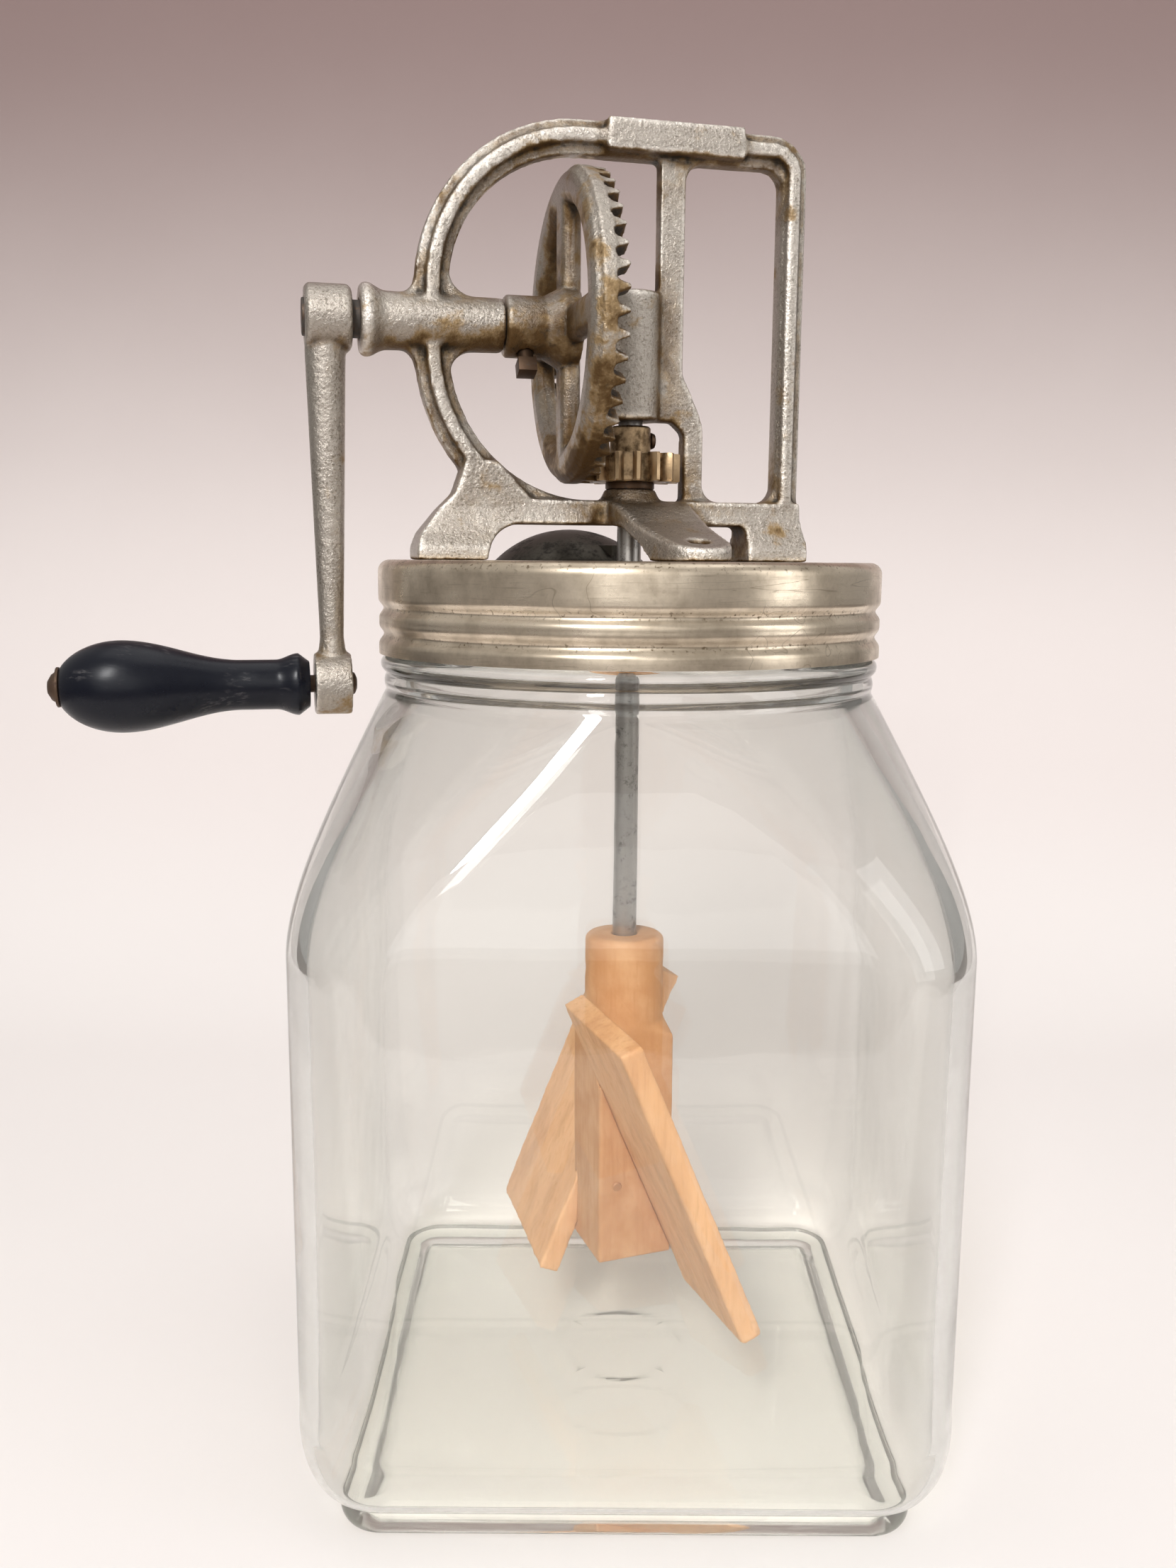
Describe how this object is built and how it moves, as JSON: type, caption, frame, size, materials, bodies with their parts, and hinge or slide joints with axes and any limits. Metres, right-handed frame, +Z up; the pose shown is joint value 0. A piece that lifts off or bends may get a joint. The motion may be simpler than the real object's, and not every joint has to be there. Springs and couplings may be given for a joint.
{
  "type": "hand churn",
  "caption": "Square glass churn jar with a screw lid, cast gear frame, side crank with a crown wheel and pinion, and a wooden dasher with slanting paddles.",
  "frame": {"origin": "middle of the jar's base, on the table", "axes": "+Z up, the front at -Y; at rest the head is turned so that the crank lies at -X and a little to the front"},
  "size_m": [0.223, 0.162, 0.3414],
  "materials": {
    "glass": "clear pressed glass, faintly green",
    "gasket_rubber": "aged rubber",
    "lid_metal": "worn plated sheet",
    "vent_tin": "dark tinned sheet",
    "frame_casting": "silver paint with patina",
    "crank_casting": "worn silver paint",
    "gear_casting": "silver paint with patina",
    "screw_steel": "browned steel",
    "shaft_steel": "dull turned steel",
    "rivet_steel": "rusted steel",
    "handle_lacquer": "black lacquer with wear",
    "pinion_brass": "tarnished",
    "post_wood": "oiled maple",
    "paddle_wood": "oiled maple"
  },
  "bodies": {
    "jar": {"glass_jar": "glass"},
    "seal": {"lid_gasket": "gasket_rubber"},
    "head": {"screw_lid": "lid_metal", "vent_cap": "vent_tin", "gear_frame": "frame_casting", "frame_screws": "screw_steel"},
    "crank": {"crank_shaft": "shaft_steel", "crank_arm": "crank_casting", "drive_gear": "gear_casting", "gear_set_screw": "screw_steel", "handle_pin": "rivet_steel", "handle_washer": "rivet_steel"},
    "grip": {"handle_grip": "handle_lacquer"},
    "dasher": {"dasher_shaft": "shaft_steel", "pinion_gear": "pinion_brass", "pinion_set_screw": "screw_steel", "thrust_washer": "screw_steel", "dasher_post": "post_wood", "post_pin": "shaft_steel", "front_paddle": "paddle_wood", "back_paddle": "paddle_wood", "paddle_nails": "screw_steel"}
  },
  "joints": [
    {"name": "lid_lift", "type": "slide", "parent": "jar", "child": "seal", "axis": [0, 0, 1], "range_m": [0, 0.23]},
    {"name": "lid_turn", "type": "hinge", "parent": "seal", "child": "head", "pos_m": [0, 0, 0.233], "axis": [0, 0, 1], "range_deg": [0, 270]},
    {"name": "crank_turn", "type": "hinge", "parent": "head", "child": "crank", "pos_m": [0, 0, 0.29107], "axis": [0.9703, 0.2419, 0], "continuous": true},
    {"name": "grip_spin", "type": "hinge", "parent": "crank", "child": "grip", "pos_m": [0, 0, 0.20178], "axis": [0.9703, 0.2419, 0], "continuous": true},
    {"name": "dasher_turn", "type": "hinge", "parent": "head", "child": "dasher", "pos_m": [0, 0, 0], "axis": [0, 0, 1], "continuous": true}
  ],
  "couplings": [
    {"joint": "dasher_turn", "follows": "crank_turn", "ratio": -3}
  ]
}
